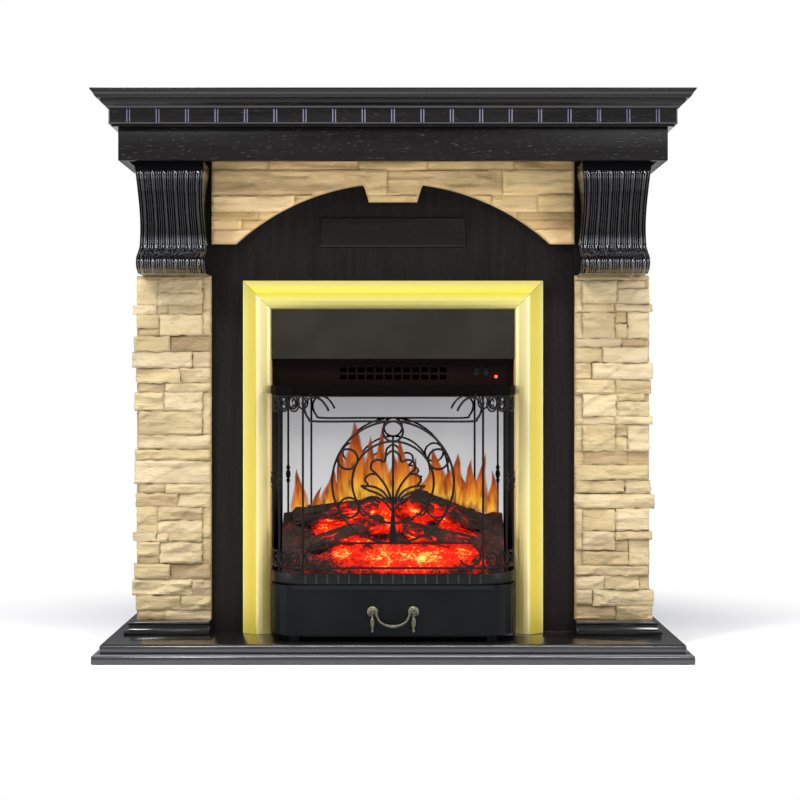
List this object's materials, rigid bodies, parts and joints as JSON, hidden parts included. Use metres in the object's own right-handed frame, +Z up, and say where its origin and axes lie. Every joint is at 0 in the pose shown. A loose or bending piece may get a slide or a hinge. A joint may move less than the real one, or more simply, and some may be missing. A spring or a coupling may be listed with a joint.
{
  "type": "electric fireplace suite",
  "caption": "Electric fireplace suite: black oak mantel surround with stone clad columns and carved corbels round a brass framed electric fire with scrolled guard, ember bed and drawer.",
  "frame": {"origin": "middle of the underside of the bounding box", "axes": "+X across the front to the viewer's right, +Y towards the wall, +Z up"},
  "size_m": [1, 0.38, 0.95],
  "materials": {
    "black_oak": "black stained oak veneer, satin",
    "corbel_gloss": "black lacquered carved wood, glossy",
    "cast_stone": "cream cast stone cladding, split face",
    "trim_brass": "bright pressed brass, lightly brushed",
    "black_enamel": "black painted sheet steel, satin",
    "grille_black": "black painted punched steel",
    "black_plastic": "black moulded plastic",
    "lamp_board": "circuit board with lamps",
    "lamp_red": "red lamp lens, lit",
    "screen_mirror": "half silvered glass screen",
    "template_steel": "thin bright sheet",
    "ember_resin": "translucent moulded resin, lit from below",
    "charred_log": "moulded logs, charred, with glowing cracks",
    "wrought_iron": "black wrought bar",
    "antique_brass": "antique brass, dark",
    "works_steel": "plain galvanised steel",
    "element": "heat darkened steel tube"
  },
  "bodies": {
    "suite": {"base_lower_board": "black_oak", "base_upper_board": "black_oak", "plinth_left": "black_oak", "plinth_right": "black_oak", "column_board_left": "black_oak", "column_board_right": "black_oak", "side_panel_left": "black_oak", "side_panel_right": "black_oak", "back_rail": "black_oak", "arch_panel": "black_oak", "arch_plaque": "black_oak", "frieze": "black_oak", "dentil_moulding": "black_oak", "mantel_shelf": "black_oak", "corbel_left": "corbel_gloss", "corbel_right": "corbel_gloss", "stone_left": "cast_stone", "stone_right": "cast_stone", "stone_lintel": "cast_stone", "trim_left": "trim_brass", "trim_right": "trim_brass", "trim_top": "trim_brass", "base_pan": "black_enamel", "insert_housing": "black_enamel", "hood_panel": "black_enamel", "heater_fascia": "black_enamel", "canopy_lip": "black_enamel", "cheek_left": "black_enamel", "cheek_right": "black_enamel", "ember_tray": "black_enamel", "outlet_grille": "grille_black", "control_box": "black_plastic", "cable_gland": "black_plastic", "lamp_board": "lamp_board", "indicator_lamp": "lamp_red", "flame_screen": "screen_mirror", "flame_template": "template_steel", "ember_bed": "ember_resin", "log_1": "charred_log", "log_2": "charred_log", "log_3": "charred_log", "log_4": "charred_log", "guard_centre": "wrought_iron", "guard_left": "wrought_iron", "guard_right": "wrought_iron", "spindle_motor": "works_steel", "blower_duct": "works_steel", "blower_motor": "works_steel", "heating_element": "element"},
    "drawer": {"drawer_front": "black_enamel", "drawer_box": "black_enamel", "rosette_left": "antique_brass", "rosette_right": "antique_brass"},
    "bail": {"bail_handle": "antique_brass"},
    "inner rocker": {"rocker_inner": "black_plastic"},
    "outer rocker": {"rocker_outer": "black_plastic"},
    "flicker rotor": {"flicker_spindle": "works_steel"},
    "blower rotor": {"blower_wheel": "works_steel"}
  },
  "joints": [
    {"name": "drawer_slide", "type": "slide", "parent": "suite", "child": "drawer", "axis": [0, -1, 0], "range_m": [0, 0.09]},
    {"name": "bail_hinge", "type": "hinge", "parent": "drawer", "child": "bail", "pos_m": [0, -0.164, 0.0833], "axis": [-1, 0, 0], "range_deg": [0, 85]},
    {"name": "inner_rocker_hinge", "type": "hinge", "parent": "suite", "child": "inner rocker", "pos_m": [0.1445, -0.0205, 0.48315], "axis": [1, 0, 0], "range_deg": [0, 10]},
    {"name": "outer_rocker_hinge", "type": "hinge", "parent": "suite", "child": "outer rocker", "pos_m": [0.1615, -0.0205, 0.48315], "axis": [1, 0, 0], "range_deg": [0, 10]},
    {"name": "flicker_spin", "type": "hinge", "parent": "suite", "child": "flicker rotor", "pos_m": [0, 0.056, 0.103], "axis": [1, 0, 0], "continuous": true},
    {"name": "blower_spin", "type": "hinge", "parent": "suite", "child": "blower rotor", "pos_m": [0, 0.05085, 0.5485], "axis": [1, 0, 0], "continuous": true}
  ]
}
